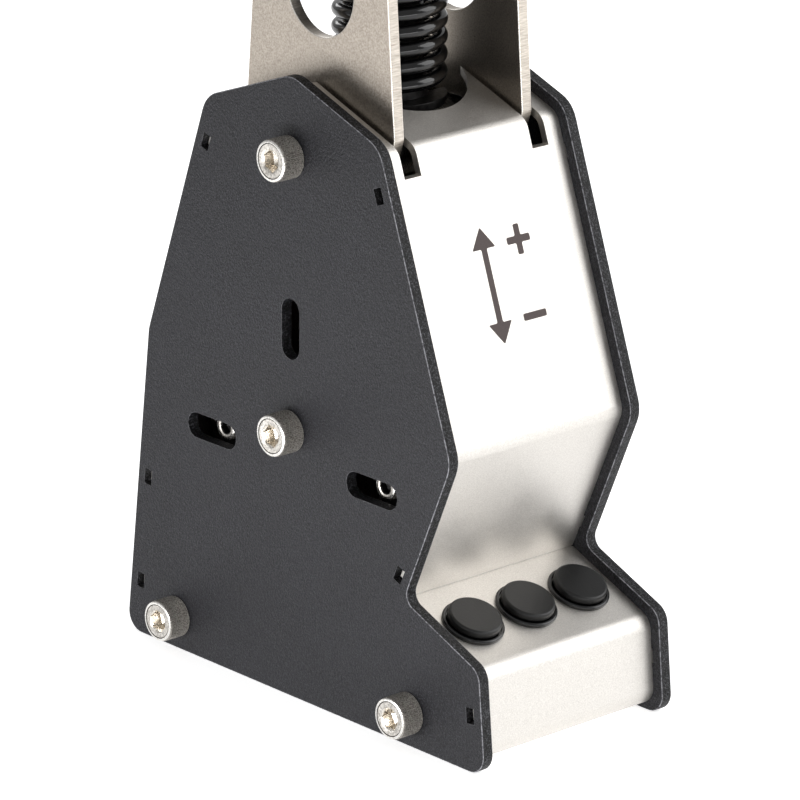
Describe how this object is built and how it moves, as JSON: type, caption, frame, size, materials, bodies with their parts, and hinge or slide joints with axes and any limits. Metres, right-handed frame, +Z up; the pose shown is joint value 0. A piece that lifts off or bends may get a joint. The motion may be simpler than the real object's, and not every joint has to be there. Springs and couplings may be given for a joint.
{
  "type": "sequential gear shifter",
  "caption": "Desk-rig sequential shifter: folded sheet housing between two plates, sprung two-plate lever with knob, and a slanted panel of push buttons.",
  "frame": {"origin": "on the underside of the base plate, straight below the lever's pivot axis", "axes": "+Z up along the lever at rest, +X across the housing to the right, -Y towards the buttons"},
  "size_m": [0.094, 0.1637, 0.3971],
  "materials": {
    "graphite_coat": "fine-textured charcoal powder coat",
    "blasted_stainless": "bead-blasted stainless sheet, fine grain",
    "lever_stainless": "bead-blasted stainless plate, laser-cut edges",
    "zinc_screws": "bright zinc",
    "machined_steel": "turned, bare",
    "machined_aluminium": "turned, bare",
    "black_anodised": "black anodised",
    "black_oxide": "blackened steel, satin",
    "gloss_black_spring": "gloss black coat",
    "black_plastic": "moulded, matte",
    "gloss_bezel": "gloss black",
    "matte_cap": "fine matte black",
    "black_rubber": "moulded, matte",
    "knob_black": "satin black",
    "circuit_board": "green solder mask",
    "brass_standoffs": "plain"
  },
  "bodies": {
    "housing": {"left_side_plate": "graphite_coat", "right_side_plate": "graphite_coat", "front_cover": "blasted_stainless", "button_cover": "blasted_stainless", "rear_cover": "blasted_stainless", "base_plate": "graphite_coat", "base_screws": "zinc_screws", "mount_nuts": "zinc_screws", "front_cross_bar": "machined_steel", "rear_cross_bar": "machined_steel", "left_bolts": "zinc_screws", "right_bolts": "zinc_screws", "pivot_axle": "machined_steel", "pivot_sleeves": "black_oxide", "detent_axle": "machined_steel", "detent_collars": "black_oxide", "front_stop_post": "machined_steel", "rear_stop_post": "machined_steel", "post_screws": "zinc_screws", "stop_screws": "zinc_screws", "stop_lock_nuts": "zinc_screws", "sensor_bracket": "machined_steel", "sensor_spacers": "black_plastic", "sensor_screws": "zinc_screws", "sensor_board": "circuit_board", "controller_board": "circuit_board", "board_standoffs": "brass_standoffs", "board_screws": "zinc_screws", "usb_socket": "black_plastic", "socket_screws": "black_oxide", "left_button_body": "gloss_bezel", "middle_button_body": "gloss_bezel", "right_button_body": "gloss_bezel", "button_nuts": "zinc_screws"},
    "plunger": {"plunger": "black_oxide"},
    "detent_roller": {"detent_roller": "machined_steel"},
    "preload_nut": {"preload_nut": "black_anodised"},
    "left_button": {"left_button_cap": "matte_cap"},
    "middle_button": {"middle_button_cap": "matte_cap"},
    "right_button": {"right_button_cap": "matte_cap"},
    "lever": {"left_lever_plate": "lever_stainless", "right_lever_plate": "lever_stainless", "pivot_hub": "machined_aluminium", "left_bearing": "machined_steel", "right_bearing": "machined_steel", "hub_screws": "zinc_screws", "front_buffer": "black_rubber", "rear_buffer": "black_rubber", "buffer_washers": "black_rubber", "buffer_screws": "zinc_screws", "sensor_magnet": "machined_steel", "spring": "gloss_black_spring", "guide_rod": "machined_steel", "upper_spring_seat": "black_oxide", "top_block": "black_anodised", "top_block_screws": "zinc_screws", "lever_shaft": "machined_steel", "jam_nut": "zinc_screws", "shift_knob": "knob_black"}
  },
  "joints": [
    {"name": "lever_tilt", "type": "hinge", "parent": "housing", "child": "lever", "pos_m": [0, 0, 0.0855], "axis": [1, 0, 0], "range_deg": [-3, 3], "stiffness_Nm_per_rad": 150},
    {"name": "plunger_lift", "type": "slide", "parent": "lever", "child": "plunger", "axis": [0, 0, 1], "range_m": [0, 0.002], "stiffness_N_per_m": 3000, "deforming": ["spring"]},
    {"name": "roller_turn", "type": "hinge", "parent": "housing", "child": "detent_roller", "pos_m": [0, 0, 0.1709], "axis": [1, 0, 0], "continuous": true},
    {"name": "preload_turn", "type": "hinge", "parent": "lever", "child": "preload_nut", "pos_m": [0, 0, 0.27], "axis": [0, 0, 1], "continuous": true},
    {"name": "left_button_press", "type": "slide", "parent": "housing", "child": "left_button", "axis": [0, 0.384, -0.9233], "range_m": [0, 0.0008], "stiffness_N_per_m": 400},
    {"name": "middle_button_press", "type": "slide", "parent": "housing", "child": "middle_button", "axis": [0, 0.384, -0.9233], "range_m": [0, 0.0008], "stiffness_N_per_m": 400},
    {"name": "right_button_press", "type": "slide", "parent": "housing", "child": "right_button", "axis": [0, 0.384, -0.9233], "range_m": [0, 0.0008], "stiffness_N_per_m": 400}
  ]
}
